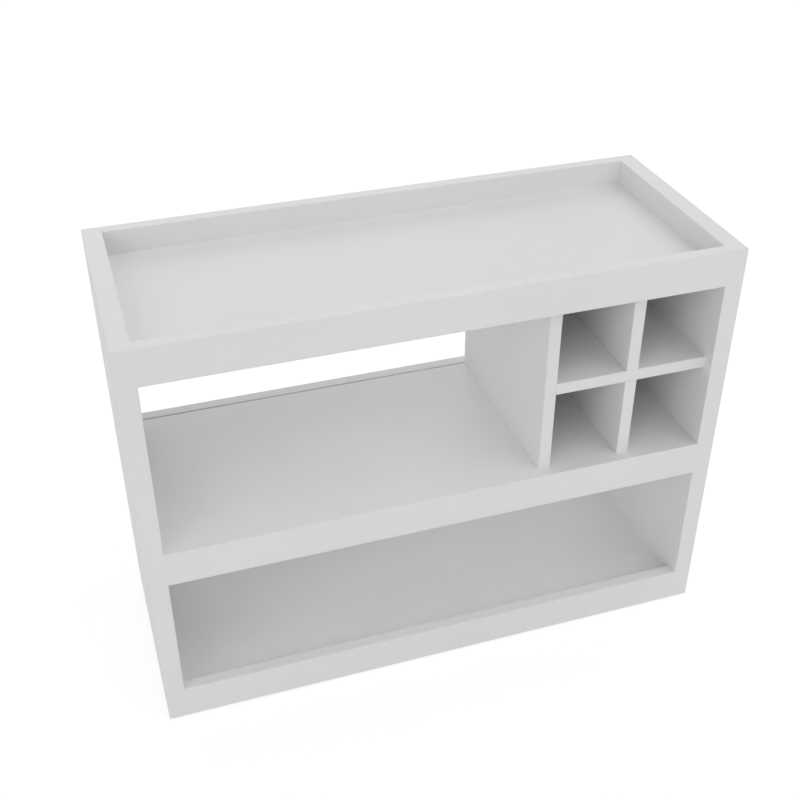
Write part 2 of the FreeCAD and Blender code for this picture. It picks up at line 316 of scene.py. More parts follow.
@dataclass(frozen=True)
class SatinLacquer(Finish):
    """Sprayed satin lacquer on board, a little rubbed along the arrises.

    Attributes:
        clear: Colour where the film is full.
        thin: Colour where the film is a little thinner.
        rubbed: Colour where hands have dulled an arris.
        cloud: Drifts of the film's thickness.
        peel: Orange peel of the spray.
        peel_depth: Height of the orange peel, in metres.
        haze: Patches of more and less gloss.
        chafe: Marks of wear along an arris.
        wear: Share of the rubbed colour where the wear is deepest.
        wear_fall: How fast the wear falls off from an arris.
        gloss: Lowest and highest roughness.
        worn_gloss: Roughness that wear adds.
        sheen_level: Strength of the reflection.
    """

    clear: Colour = (0.785, 0.785, 0.783, 1.0)
    thin: Colour = (0.762, 0.762, 0.758, 1.0)
    rubbed: Colour = (0.70, 0.696, 0.688, 1.0)
    cloud: Mottle = Mottle(4.0, 6.0, 0.62, (0.35, 0.65))
    peel: Mottle = Mottle(420.0, 1.0)
    peel_depth: float = 0.00014
    haze: Mottle = Mottle(22.0, 4.0, 0.6)
    chafe: Mottle = Mottle(55.0, 5.0, 0.65, (0.46, 0.66))
    wear: float = 0.6
    wear_fall: float = 2.5
    gloss: tuple[float, float] = (0.55, 0.68)
    worn_gloss: float = 0.1
    sheen_level: float = 0.08

    def shader(self, web: NodeWeb) -> bpy.types.Node:
        """Adds the film's drift of tone, its orange peel, its haze and the rubbed arrises.

        Args:
            web: The material's tree.

        Returns:
            The node that shades the surface.
        """
        place = web.place()
        film = web.tint(self.cloud.ranged(web, place), self.clear, self.thin)
        haze = self.haze.ranged(web, place, self.gloss)
        near = web.math("POWER", web.stored("rub", "Fac"), self.wear_fall)
        worn = web.math("MULTIPLY", near, self.chafe.ranged(web, place))
        dulled = web.math("MULTIPLY", worn, self.worn_gloss)
        return web.add(
            "ShaderNodeBsdfPrincipled",
            {
                "Base Color": web.tint(web.math("MULTIPLY", worn, self.wear), film, self.rubbed),
                "Roughness": web.math("ADD", haze, dulled),
                "Specular IOR Level": self.sheen_level,
                "Normal": web.bump(self.peel.height(web, place), self.peel_depth),
            },
        )


@dataclass(frozen=True)
class FlutedBeech(Finish):
    """Plain beech, with its grain and flecks along the dowel.

    Attributes:
        pale: Colour of the early wood.
        deep: Colour of the late wood.
        ray: Colour of the rays' short flecks.
        grain: Grain across the dowel.
        flecks: Flecks across the dowel.
        grain_draw: Scale along the dowel, below 1 to draw the grain out.
        fleck_draw: The same for the flecks.
        fleck_cover: Share of the ray's colour in a fleck.
        gloss: Lowest and highest roughness.
        pore_depth: Depth of the pores, in metres.
    """

    pale: Colour = (0.60, 0.40, 0.23, 1.0)
    deep: Colour = (0.42, 0.25, 0.13, 1.0)
    ray: Colour = (0.33, 0.18, 0.09, 1.0)
    grain: Mottle = Mottle(700.0, 4.0, 0.6, (0.1, 0.9))
    flecks: Mottle = Mottle(1540.0, span=(0.62, 0.72))
    grain_draw: float = 0.06
    fleck_draw: float = 0.25
    fleck_cover: float = 0.7
    gloss: tuple[float, float] = (0.50, 0.80)
    pore_depth: float = 0.00008

    def shader(self, web: NodeWeb) -> bpy.types.Node:
        """Adds the grain, the flecks and the pores.

        Args:
            web: The material's tree.

        Returns:
            The node that shades the surface.
        """
        own = web.stored("turned", "Vector")
        drawn, short = (
            web.add("ShaderNodeMapping", {"Vector": own, "Scale": (1.0, 1.0, draw)})
            for draw in (self.grain_draw, self.fleck_draw)
        )
        wood = web.tint(self.grain.ranged(web, drawn), self.pale, self.deep)
        flecks = self.flecks.ranged(web, short, (0.0, self.fleck_cover))
        return web.add(
            "ShaderNodeBsdfPrincipled",
            {
                "Base Color": web.tint(flecks, wood, self.ray),
                "Roughness": self.grain.ranged(web, drawn, self.gloss),
                "Normal": web.bump(self.grain.height(web, drawn), self.pore_depth),
            },
        )


@dataclass(frozen=True)
class PlatedMetal(Finish):
    """Zinc plate with lathe marks and a dull bloom.

    Attributes:
        bright: Colour of the clean plate.
        dull: Colour where the plate has dulled.
        bloom: Patches of bloom.
        turning_scale: Lathe marks along the fitting, per metre.
        turning_waver: How far the lathe marks waver.
        turning_depth: Depth of the lathe marks, in metres.
        gloss: Lowest and highest roughness.
    """

    bright: Colour = (0.66, 0.67, 0.68, 1.0)
    dull: Colour = (0.50, 0.51, 0.53, 1.0)
    bloom: Mottle = Mottle(380.0, 4.0, 0.6, (0.35, 0.7))
    turning_scale: float = 900.0
    turning_waver: float = 1.2
    turning_depth: float = 0.000012
    gloss: tuple[float, float] = (0.24, 0.46)

    def shader(self, web: NodeWeb) -> bpy.types.Node:
        """Adds the bloom and the lathe marks.

        Args:
            web: The material's tree.

        Returns:
            The node that shades the surface.
        """
        own = web.stored("turned", "Vector")
        lathe = {"Vector": own, "Scale": self.turning_scale, "Distortion": self.turning_waver}
        marks = web.add("ShaderNodeTexWave", lathe, bands_direction="Z").outputs["Fac"]
        return web.add(
            "ShaderNodeBsdfPrincipled",
            {
                "Base Color": web.tint(self.bloom.ranged(web, own), self.bright, self.dull),
                "Metallic": 1.0,
                "Roughness": self.bloom.ranged(web, own, self.gloss),
                "Normal": web.bump(marks, self.turning_depth),
            },
        )


@dataclass(frozen=True)
class MouldedPlastic(Finish):
    """Moulded plastic with a fine spark-eroded grain.

    Attributes:
        clean: Colour of the plastic.
        scuffed: Colour where it is scuffed.
        scuffs: Patches of scuffs.
        grain: Grain of the mould.
        grain_depth: Depth of the grain, in metres.
        gloss: Lowest and highest roughness.
    """

    clean: Colour = (0.74, 0.74, 0.73, 1.0)
    scuffed: Colour = (0.65, 0.65, 0.64, 1.0)
    scuffs: Mottle = Mottle(260.0, 5.0, 0.7, (0.48, 0.7))
    grain: Mottle = Mottle(2400.0)
    grain_depth: float = 0.000015
    gloss: tuple[float, float] = (0.45, 0.58)

    def shader(self, web: NodeWeb) -> bpy.types.Node:
        """Adds the mould's grain and the scuffs.

        Args:
            web: The material's tree.

        Returns:
            The node that shades the surface.
        """
        place = web.place()
        return web.add(
            "ShaderNodeBsdfPrincipled",
            {
                "Base Color": web.tint(self.scuffs.ranged(web, place), self.clean, self.scuffed),
                "Roughness": self.scuffs.ranged(web, place, self.gloss),
                "Normal": web.bump(self.grain.height(web, place), self.grain_depth),
            },
        )


LACQUER = SatinLacquer("satin_white_lacquer")
BEECH = FlutedBeech("fluted_beech")
CAST_ZINC = PlatedMetal("cast_zinc", bright=(0.60, 0.61, 0.62, 1.0), gloss=(0.34, 0.55))
SCREW_STEEL = PlatedMetal("zinc_plated_steel")
CAP_PLASTIC = MouldedPlastic("white_cap_plastic")
GLIDE_PLASTIC = MouldedPlastic(
    "grey_glide_plastic", clean=(0.40, 0.40, 0.40, 1.0), scuffed=(0.31, 0.31, 0.31, 1.0)
)


def settle(piece: bpy.types.Object) -> None:
    """Turns what a piece's modifiers make into its plain mesh.

    Args:
        piece: Object whose modifiers are finished.
    """
    bpy.context.view_layer.update()
    graph = bpy.context.evaluated_depsgraph_get()
    shaped = piece.evaluated_get(graph)
    plain = bpy.data.meshes.new_from_object(shaped, preserve_all_data_layers=True, depsgraph=graph)
    rough = piece.data
    piece.modifiers.clear()
    piece.data = plain
    bpy.data.meshes.remove(rough)
    plain.name = piece.name


def seat(piece: bpy.types.Object, node: str) -> None:
    """Puts a finished piece in the place of its CAD node.

    Args:
        piece: The piece, at the origin.
        node: CAD node that it stands for.
    """
    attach(piece, BODY)
    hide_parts(node)
    LOG.info("%s: %d faces in place of %s", piece.name, len(piece.data.polygons), node)


def new_object(name: str, mesh: bpy.types.Mesh) -> bpy.types.Object:
    """Adds an object with a mesh to the scene.

    Args:
        name: Name of the object.
        mesh: Its mesh.

    Returns:
        The object.
    """
    made = bpy.data.objects.new(name, mesh)
    bpy.context.scene.collection.objects.link(made)
    return made


def meets(first: Box, second: Box, play: float) -> bool:
    """Tells whether two boxes touch.

    Args:
        first: Lowest and highest corner of one box.
        second: Lowest and highest corner of the other.
        play: Gap that still counts as touching or, below zero, the overlap that is asked for.

    Returns:
        True where they touch.
    """
    sides = zip(*first, *second)
    return all(low - play < far and near - play < high for low, high, near, far in sides)


@cache
def solid_boxes(node: str) -> tuple[Box, ...]:
    """Measures the separate solids of a CAD node.

    Args:
        node: Name of the node.

    Returns:
        Lowest and highest corner of each solid.
    """
    shape = bmesh.new()
    shape.from_mesh(frame["nodes"][node].data)
    bmesh.ops.remove_doubles(shape, verts=shape.verts, dist=MERGE_DISTANCE)
    waiting = set(shape.verts)
    boxes = []
    while waiting:
        solid = [waiting.pop()]
        for vert in solid:
            near = {edge.other_vert(vert) for edge in vert.link_edges} & waiting
            waiting -= near
            solid.extend(near)
        corners = list(zip(*(vert.co for vert in solid)))
        boxes.append((Vector(map(min, corners)), Vector(map(max, corners))))
    shape.free()
    return tuple(sorted(boxes, key=lambda box: tuple(round(value, BOX_DIGITS) for value in box[0])))


@dataclass(frozen=True)
class TurnedTree:
    """Geometry Nodes tree that turns a fitting and sets one on every seat.

    Attributes:
        name: Name of the tree.
        stations: Names of the heights along the axis at which the outline changes.
        drive: Recess in the head.
    """

    name: str
    stations: tuple[str, ...]
    drive: Drive

    def build(self) -> bpy.types.NodeTree:
        """Makes the tree, or finds it where it is made already.

        Returns:
            The tree.
        """
        found = bpy.data.node_groups.get(self.name)
        if found:
            return found
        tree = bpy.data.node_groups.new(self.name, "GeometryNodeTree")
        self.declare(tree.interface)
        web = NodeWeb(tree)
        given = web.add("NodeGroupInput").outputs
        fitting = self.turned(web, given)
        if self.drive is not Drive.NONE:
            meshes = {"Mesh 1": fitting, "Mesh 2": self.cutters(web, given)}
            fitting = web.add(
                "GeometryNodeMeshBoolean", meshes, operation="DIFFERENCE", solver="EXACT"
            )
        own = web.add(
            "GeometryNodeStoreNamedAttribute",
            {"Geometry": fitting, "Name": "turned", "Value": web.add("GeometryNodeInputPosition")},
            data_type="FLOAT_VECTOR",
        )
        placed = web.add(
            "GeometryNodeInstanceOnPoints",
            {"Points": given["Seats"], "Instance": own, "Rotation": self.rotation(web, given)},
        )
        solid = web.add("GeometryNodeRealizeInstances", {"Geometry": placed})
        dressed = web.add(
            "GeometryNodeSetMaterial", {"Geometry": solid, "Material": given["Finish"]}
        )
        web.add("NodeGroupOutput", {"Fittings": dressed})
        return tree

    def declare(self, interface: bpy.types.NodeTreeInterface) -> None:
        """Names the tree's inputs and its output.

        Args:
            interface: Interface of the tree.
        """
        lengths = [size.at(station) for station in self.stations for size in Size]
        lengths += ["Flute depth", "Recess width", "Recess length", "Recess depth"]
        kinds = [("Seats", "NodeSocketGeometry"), *((name, "NodeSocketFloat") for name in lengths)]
        kinds += [(name, "NodeSocketInt") for name in ("Sides", "Turn seed")]
        kinds.append(("Finish", "NodeSocketMaterial"))
        interface.new_socket("Fittings", in_out="OUTPUT", socket_type="NodeSocketGeometry")
        for name, kind in kinds:
            interface.new_socket(name, in_out="INPUT", socket_type=kind)

    def by_station(
        self, web: NodeWeb, given: bpy.types.NodeOutputs, size: Size
    ) -> bpy.types.Node:
        """Adds a switch that gives each station of the outline its own size.

        Args:
            web: The tree.
            given: The tree's inputs.
            size: Which of a station's sizes is meant.

        Returns:
            The switch.
        """
        switch = web.add("GeometryNodeIndexSwitch", data_type="FLOAT")
        while len(switch.index_switch_items) < len(self.stations):
            switch.index_switch_items.new()
        web.feed(switch.inputs["Index"], web.add("GeometryNodeInputIndex"))
        for place, station in enumerate(self.stations):
            web.feed(switch.inputs[str(place)], given[size.at(station)])
        return switch

    def turned(self, web: NodeWeb, given: bpy.types.NodeOutputs) -> bpy.types.Node:
        """Adds the nodes that turn the outline about the Z axis, with flutes where they are deep.

        Args:
            web: The tree.
            given: The tree's inputs.

        Returns:
            The node that gives the closed mesh.
        """
        heights = web.add("ShaderNodeCombineXYZ", {"Z": self.by_station(web, given, Size.HEIGHT)})
        line = web.add("GeometryNodeMeshLine", {"Count": len(self.stations)})
        spine = web.add("GeometryNodeSetPosition", {"Geometry": line, "Position": heights})
        axis = web.add("GeometryNodeMeshToCurve", {"Mesh": spine})

        circle = web.add(
            "GeometryNodeCurvePrimitiveCircle", {"Resolution": given["Sides"], "Radius": 1.0}
        )
        every_other = web.math("MODULO", web.add("GeometryNodeInputIndex"), 2.0)
        flute = web.math("MULTIPLY", every_other, given["Flute depth"])
        rim = {
            "Vector": web.add("GeometryNodeInputPosition"),
            "Scale": web.math("SUBTRACT", 1.0, flute),
        }
        fluted = web.add("ShaderNodeVectorMath", rim, operation="SCALE")
        ring = web.add("GeometryNodeSetPosition", {"Geometry": circle, "Position": fluted})
        radii = self.by_station(web, given, Size.RADIUS)
        return web.add(
            "GeometryNodeCurveToMesh",
            {"Curve": axis, "Profile Curve": ring, "Scale": radii, "Fill Caps": True},
        )

    def cutters(self, web: NodeWeb, given: bpy.types.NodeOutputs) -> list[bpy.types.Node]:
        """Adds the solids that are cut out of the head.

        Args:
            web: The tree.
            given: The tree's inputs.

        Returns:
            The nodes that give these solids.
        """
        wide, long = given["Recess width"], given["Recess length"]
        through = web.math("MULTIPLY", given["Recess depth"], 2.0)
        if self.drive is Drive.BORE:
            radius = web.math("DIVIDE", long, 2.0)
            round_hole = {"Vertices": given["Sides"], "Radius": radius, "Depth": through}
            return [web.add("GeometryNodeMeshCylinder", round_hole)]
        arms = ({"X": long, "Y": wide, "Z": through}, {"X": wide, "Y": long, "Z": through})
        sizes = [web.add("ShaderNodeCombineXYZ", arm) for arm in arms]
        return [web.add("GeometryNodeMeshCube", {"Size": size}) for size in sizes]

    def rotation(self, web: NodeWeb, given: bpy.types.NodeOutputs) -> bpy.types.Node:
        """Adds the nodes that point a fitting along its seat's axis, turned as it came to rest.

        Args:
            web: The tree.
            given: The tree's inputs.

        Returns:
            The node that gives the rotation.
        """
        heading = web.add(
            "GeometryNodeInputNamedAttribute", {"Name": "axis"}, data_type="FLOAT_VECTOR"
        )
        aligned = web.add("FunctionNodeAlignRotationToVector", {"Vector": heading}, axis="Z")
        stop = {"Max": math.tau, "Seed": given["Turn seed"]}
        turn = {"Axis": Axis.Z.unit(), "Angle": web.add("FunctionNodeRandomValue", stop)}
        turned = web.add("FunctionNodeAxisAngleToRotation", turn)
        both = {"Rotation": aligned, "Rotate By": turned}
        return web.add("FunctionNodeRotateRotation", both, rotation_space="LOCAL")


@dataclass(frozen=True)
class TurnedSet(ABC):
    """All the fittings of one kind, turned by one tree, and the holes that take them.

    Attributes:
        node: CAD node that holds the fittings' solids.
        finish: Finish of the fittings.
        heading: Way in which they run from the head.
        drive: Recess in the head.
        sides: Facets round the axis.
        through: Other fittings that these pass through.
        drilled: Whether each one sits in a hole.
        turn_seed: Seed for the way that each one stopped turning.
        play: Gap round a fitting in its hole.
        reach: How far a hole runs past the fitting.
    """

    node: str
    finish: Finish
    heading: Heading = Heading.UP
    drive: Drive = Drive.NONE
    sides: int = 32
    through: tuple[str, ...] = ()
    drilled: bool = True
    turn_seed: int = 7
    play: float = 0.0001
    reach: float = 0.001

    @abstractmethod
    def stations(self, length: float, radius: float) -> Stations:
        """Gives the outline from the head on.

        Args:
            length: Length of the fitting.
            radius: Its largest radius.

        Returns:
            Height and radius at each named station.
        """

    def bore(self, length: float, radius: float) -> Stations:
        """Gives the outline of the hole, in the same way."""
        wide = radius + self.play
        return {"Mouth": (-self.reach, wide), "End": (length + self.reach, wide)}

    def extras(self) -> dict[str, float]:
        """Gives the sizes of flutes and recesses, of which a plain fitting has none."""
        return {}

    def seats(self, boxes: Iterable[Box]) -> bpy.types.Mesh:
        """Makes a point for each fitting at its head, with its axis.

        Args:
            boxes: Lowest and highest corner of each fitting.

        Returns:
            A mesh of loose points.
        """
        axes = [self.heading.axis(box) for box in boxes]
        heads = []
        for (low, high), axis in zip(boxes, axes):
            heads.append((low + high) / 2 - axis * abs(axis.dot(high - low)) / 2)
        mesh = bpy.data.meshes.new(self.node)
        mesh.from_pydata(heads, [], [])
        directions = mesh.attributes.new("axis", "FLOAT_VECTOR", "POINT")
        for point, axis in zip(directions.data, axes):
            point.vector = axis
        return mesh

    def turn(self, name: str, boxes: tuple[Box, ...], holes: bool = False) -> bpy.types.Object:
        """Turns fittings, or the solids that cut their holes.

        Args:
            name: Name of the object.
            boxes: Lowest and highest corner of each fitting.
            holes: Whether the holes are meant.

        Returns:
            An object with a plain mesh.
        """
        low, high = boxes[0]
        extent = high - low
        axis = self.heading.axis(boxes[0])
        length = abs(axis.dot(extent))
        radius = max(part * (1 - abs(along)) for part, along in zip(extent, axis)) / 2
        outline = (self.bore if holes else self.stations)(length, radius)
        drive = Drive.NONE if holes else self.drive
        kind = f"{type(self).__name__} {'holes' if holes else 'turned'}"
        tree = TurnedTree(kind, tuple(outline), drive).build()

        values: dict[str, Any] = {"Sides": self.sides, "Turn seed": self.turn_seed}
        values["Finish"] = self.finish.material()
        values.update({} if holes else self.extras())
        for station, sizes in outline.items():
            values.update({size.at(station): value for size, value in zip(Size, sizes)})

        made = new_object(name, self.seats(boxes))
        lathe = made.modifiers.new("turn", "NODES")
        lathe.node_group = tree
        for item in tree.interface.items_tree:
            if item.in_out == "INPUT" and item.name in values:
                lathe[item.identifier] = values[item.name]
        settle(made)
        made.data.materials.clear()
        made.data.materials.append(values["Finish"])
        self.smooth(made.data)
        return made

    def drill(self, piece: bpy.types.Object, box: Box) -> None:
        """Cuts the holes that take these fittings out of a piece.

        Args:
            piece: The piece.
            box: Its lowest and highest corner.
        """
        boxes = tuple(solid for solid in solid_boxes(self.node) if meets(solid, box, -JOINT_GAP))
        if not (self.drilled and boxes):
            return
        cutter = self.turn(f"{self.node}_holes", boxes, holes=True)
        cut = piece.modifiers.new("drill", "BOOLEAN")
        cut.object = cutter
        cut.solver = "EXACT"
        settle(piece)
        bpy.data.meshes.remove(cutter.data)

    def build(self) -> bpy.types.Object:
        """Turns the fittings and puts them in their node's place.

        Returns:
            The finished piece.
        """
        piece = self.turn(f"turned_{self.node}", solid_boxes(self.node))
        for kind in FITTINGS:
            if self.node in kind.through:
                kind.drill(piece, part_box(self.node))
                self.smooth(piece.data)
        seat(piece, self.node)
        return piece

    @staticmethod
    def smooth(mesh: bpy.types.Mesh) -> None:
        """Turns every face outwards and shades the round ones smooth.

        Args:
            mesh: The turned fittings.
        """
        shape = bmesh.new()
        shape.from_mesh(mesh)
        bmesh.ops.remove_doubles(shape, verts=shape.verts, dist=FINE_MERGE)
        bmesh.ops.recalc_face_normals(shape, faces=shape.faces)
        shape.to_mesh(mesh)
        shape.free()
        mesh.shade_smooth()
        mesh.set_sharp_from_angle(angle=SHARP_ANGLE)


@dataclass(frozen=True)
class Dowels(TurnedSet):
    """Fluted wooden dowels with chamfered ends.

    Attributes:
        chamfer: Chamfer at both ends.
        flute_depth: Depth of a flute, as a share of the radius.
    """

    chamfer: float = 0.001
    flute_depth: float = 0.07

    def stations(self, length: float, radius: float) -> Stations:
        """Gives the outline from one end to the other.

        Args:
            length: Length of a dowel.
            radius: Its radius.

        Returns:
            Height and radius at each named station.
        """
        return {
            "End": (0.0, radius - self.chamfer),
            "Shoulder": (self.chamfer, radius),
            "Far shoulder": (length - self.chamfer, radius),
            "Far end": (length, radius - self.chamfer),
        }

    def extras(self) -> dict[str, float]:
        """Gives the depth of the flutes."""
        return {"Flute depth": self.flute_depth}


@dataclass(frozen=True)
class CrossHeads(TurnedSet):
    """Fittings with a cross cut into the head.

    Attributes:
        recess: Width, length and depth of the cross.
    """

    recess: tuple[float, float, float] = (0.0011, 0.0046, 0.0016)

    def extras(self) -> dict[str, float]:
        """Gives the sizes of the cross."""
        return dict(zip(("Recess width", "Recess length", "Recess depth"), self.recess))


@dataclass(frozen=True)
class CamHousings(CrossHeads):
    """Cast cams with a cross drive in the face below.

    Attributes:
        recess: Width, length and depth of the cross.
        edge: Chamfer of both edges.
    """

    recess: tuple[float, float, float] = (0.0016, 0.007, 0.0025)
    edge: float = 0.0004

    def stations(self, length: float, radius: float) -> Stations:
        """Gives the outline from the driven face up.

        Args:
            length: Height of a cam.
            radius: Its radius.

        Returns:
            Height and radius at each named station.
        """
        return {
            "Face": (0.0, radius - self.edge),
            "Rim": (self.edge, radius),
            "Upper rim": (length - self.edge, radius),
            "Upper face": (length, radius - self.edge),
        }


@dataclass(frozen=True)
class CamBolts(TurnedSet):
    """Bolts with a neck that the cam grips behind the head.

    Attributes:
        neck_radius: Radius of the neck.
        neck_length: Length of the neck.
        head_length: Length of the head past the neck.
        lead: Chamfer that leads the thread in.
    """

    neck_radius: float = 0.002
    neck_length: float = 0.005
    head_length: float = 0.003
    lead: float = 0.0012

    def stations(self, length: float, radius: float) -> Stations:
        """Gives the outline from the threaded end on.

        Args:
            length: Length of a bolt.
            radius: Radius of its thread and head.

        Returns:
            Height and radius at each named station.
        """
        neck_end = length - self.head_length
        neck_start = neck_end - self.neck_length
        return {
            "Lead": (0.0, radius - self.lead),
            "Thread": (self.lead, radius),
            "Shank": (neck_start, radius),
            "Neck": (neck_start + STEP, self.neck_radius),
            "Neck end": (neck_end - STEP, self.neck_radius),
            "Head": (neck_end, radius),
            "Crown": (length - self.lead / 2, radius),
            "Tip": (length, radius - self.lead / 2),
        }


@dataclass(frozen=True)
class CamCaps(TurnedSet):
    """Thin caps that hide the cams, with a softened rim.

    Attributes:
        crown: Height over which the rim is softened.
        slope: Share of the radius that the softened rim takes.
        knee: Where the softened rim turns, as shares of its height and of its slope.
    """

    crown: float = 0.0007
    slope: float = 0.1
    knee: tuple[float, float] = (0.3, 0.35)

    def stations(self, length: float, radius: float) -> Stations:
        """Gives the outline from the face that shows up to the panel.

        Args:
            length: Thickness of a cap.
            radius: Its radius.

        Returns:
            Height and radius at each named station.
        """
        rise, fall = self.knee
        return {
            "Face": (0.0, radius * (1 - self.slope)),
            "Crown": (rise * self.crown, radius * (1 - fall * self.slope)),
            "Rim": (self.crown, radius),
            "Seat": (length, radius),
        }


@dataclass(frozen=True)
class StripScrews(CrossHeads):
    """Countersunk cross-head screws, a little below the board's face.

    Attributes:
        shank_radius: Radius of the shank.
        sunk: Depth of the head below the board's face, and height of its edge.
    """

    shank_radius: float = 0.002
    sunk: float = 0.0002

    def stations(self, length: float, radius: float) -> Stations:
        """Gives the outline from the head to the point.

        Args:
            length: Length of a screw.
            radius: Radius of the countersink's mouth.

        Returns:
            Height and radius at each named station.
        """
        return {
            "Head": (self.sunk, radius - 2 * self.sunk),
            "Edge": (2 * self.sunk, radius - 2 * self.sunk),
            "Neck": (radius - self.shank_radius, self.shank_radius),
            "Shank": (length - 2 * self.shank_radius, self.shank_radius),
            "Point": (length, POINT_RADIUS),
        }

    def bore(self, length: float, radius: float) -> Stations:
        """Gives the outline of the countersink and of the hole for the shank.

        Args:
            length: Length of a screw.
            radius: Radius of the countersink's mouth.

        Returns:
            Height and radius at each named station.
        """
        shank = self.shank_radius + self.play
        return {
            "Mouth": (-self.reach, radius + self.play + self.reach),
            "Seat": (radius - self.shank_radius, shank),
            "End": (length + self.reach, shank),
        }


@dataclass(frozen=True)
class Headed(TurnedSet):
    """Fittings whose head stands on a thinner shank.

    Attributes:
        shank_radius: Radius of the shank.
        head: Height of the head.
    """

    shank_radius: float = 0.00125
    head: float = 0.001

    def shank(self, length: float) -> Stations:
        """Gives the outline from under the head to the point.

        Args:
            length: Length of the whole fitting.

        Returns:
            Height and radius at each named station.
        """
        return {
            "Shank": (self.head + STEP, self.shank_radius),
            "Shank end": (length - 2 * self.shank_radius, self.shank_radius),
            "Point": (length, POINT_RADIUS),
        }

    def bore(self, length: float, radius: float) -> Stations:
        """Gives the outline of the hole for the shank, whatever the head's radius is."""
        shank = self.shank_radius + self.play
        return {"Mouth": (self.head / 2, shank), "End": (length + self.reach, shank)}


@dataclass(frozen=True)
class BackScrews(CrossHeads, Headed):
    """Cheese-head screws with a softened crown.

    Attributes:
        recess: Width, length and depth of the cross.
        shank_radius: Radius of the shank.
        head: Height of the head.
        face: Share of the head's radius that is flat.
        knee: Where the crown turns, as shares of the head's height and radius.
        crown: Share of the head's height that is rounded.
    """

    recess: tuple[float, float, float] = (0.0010, 0.0042, 0.0012)
    shank_radius: float = 0.00175
    head: float = 0.0022
    face: float = 0.82
    knee: tuple[float, float] = (0.2, 0.95)
    crown: float = 0.5

    def stations(self, length: float, radius: float) -> Stations:
        """Gives the outline from the head to the point.

        Args:
            length: Length of a screw.
            radius: Radius of its head.

        Returns:
            Height and radius at each named station.
        """
        rise, share = self.knee
        head = {
            "Face": (0.0, self.face * radius),
            "Shoulder": (rise * self.head, share * radius),
            "Rim": (self.crown * self.head, radius),
            "Seat": (self.head, radius),
        }
        return head | self.shank(length)


@dataclass(frozen=True)
class FloorGlides(TurnedSet):
    """Moulded glides under the sides, bored for the nail's head.

    Attributes:
        toe: Rounding at the floor.
        knee: Where the rounding turns, as a share of it.
        recess: Diameter and depth of the bore.
    """

    toe: float = 0.001
    knee: float = 0.3
    recess: tuple[float, float] = (0.0066, 0.0015)

    def stations(self, length: float, radius: float) -> Stations:
        """Gives the outline from the floor up.

        Args:
            length: Height of a glide.
            radius: Its radius.

        Returns:
            Height and radius at each named station.
        """
        turn = self.knee * self.toe
        return {
            "Sole": (0.0, radius - self.toe),
            "Toe": (turn, radius - turn),
            "Wall": (self.toe, radius),
            "Seat": (length, radius),
        }

    def extras(self) -> dict[str, float]:
        """Gives the sizes of the bore."""
        return dict(zip(("Recess length", "Recess depth"), self.recess))


@dataclass(frozen=True)
class GlideNails(Headed):
    """Round nails with a flat head.

    Attributes:
        edge: Rounding of the head.
    """

    edge: float = 0.0003

    def stations(self, length: float, radius: float) -> Stations:
        """Gives the outline from the head to the point.

        Args:
            length: Length of a nail.
            radius: Radius of its head.

        Returns:
            Height and radius at each named station.
        """
        head = {
            "Head": (0.0, radius - self.edge),
            "Rim": (self.edge, radius),
            "Underside": (self.head, radius),
        }
        return head | self.shank(length)


DOWEL_NODES = ("rail_dowels", "panel_dowels", "edge_dowels", "rack_dowels")
DOWEL_SIDES = 28
FITTINGS: tuple[TurnedSet, ...] = (
    *(Dowels(node, BEECH, Heading.LENGTHWISE, sides=DOWEL_SIDES) for node in DOWEL_NODES),
    CamHousings("cam_housings", CAST_ZINC, drive=Drive.CROSS),
    CamBolts("cam_bolts", SCREW_STEEL, Heading.INWARD, through=("cam_housings",)),
    CamCaps("cam_caps", CAP_PLASTIC, sides=48, drilled=False),
    StripScrews("stemware_screws", SCREW_STEEL, drive=Drive.CROSS),
    BackScrews("rack_back_screws", SCREW_STEEL, Heading.FORWARD, Drive.CROSS),
    FloorGlides("floor_glides", GLIDE_PLASTIC, drive=Drive.BORE, sides=48, drilled=False),
    GlideNails("glide_nails", SCREW_STEEL, through=("floor_glides",)),
)


BOARDS = tuple(node for node, slot in SLOTS.items() if slot == BOARD_SLOT)


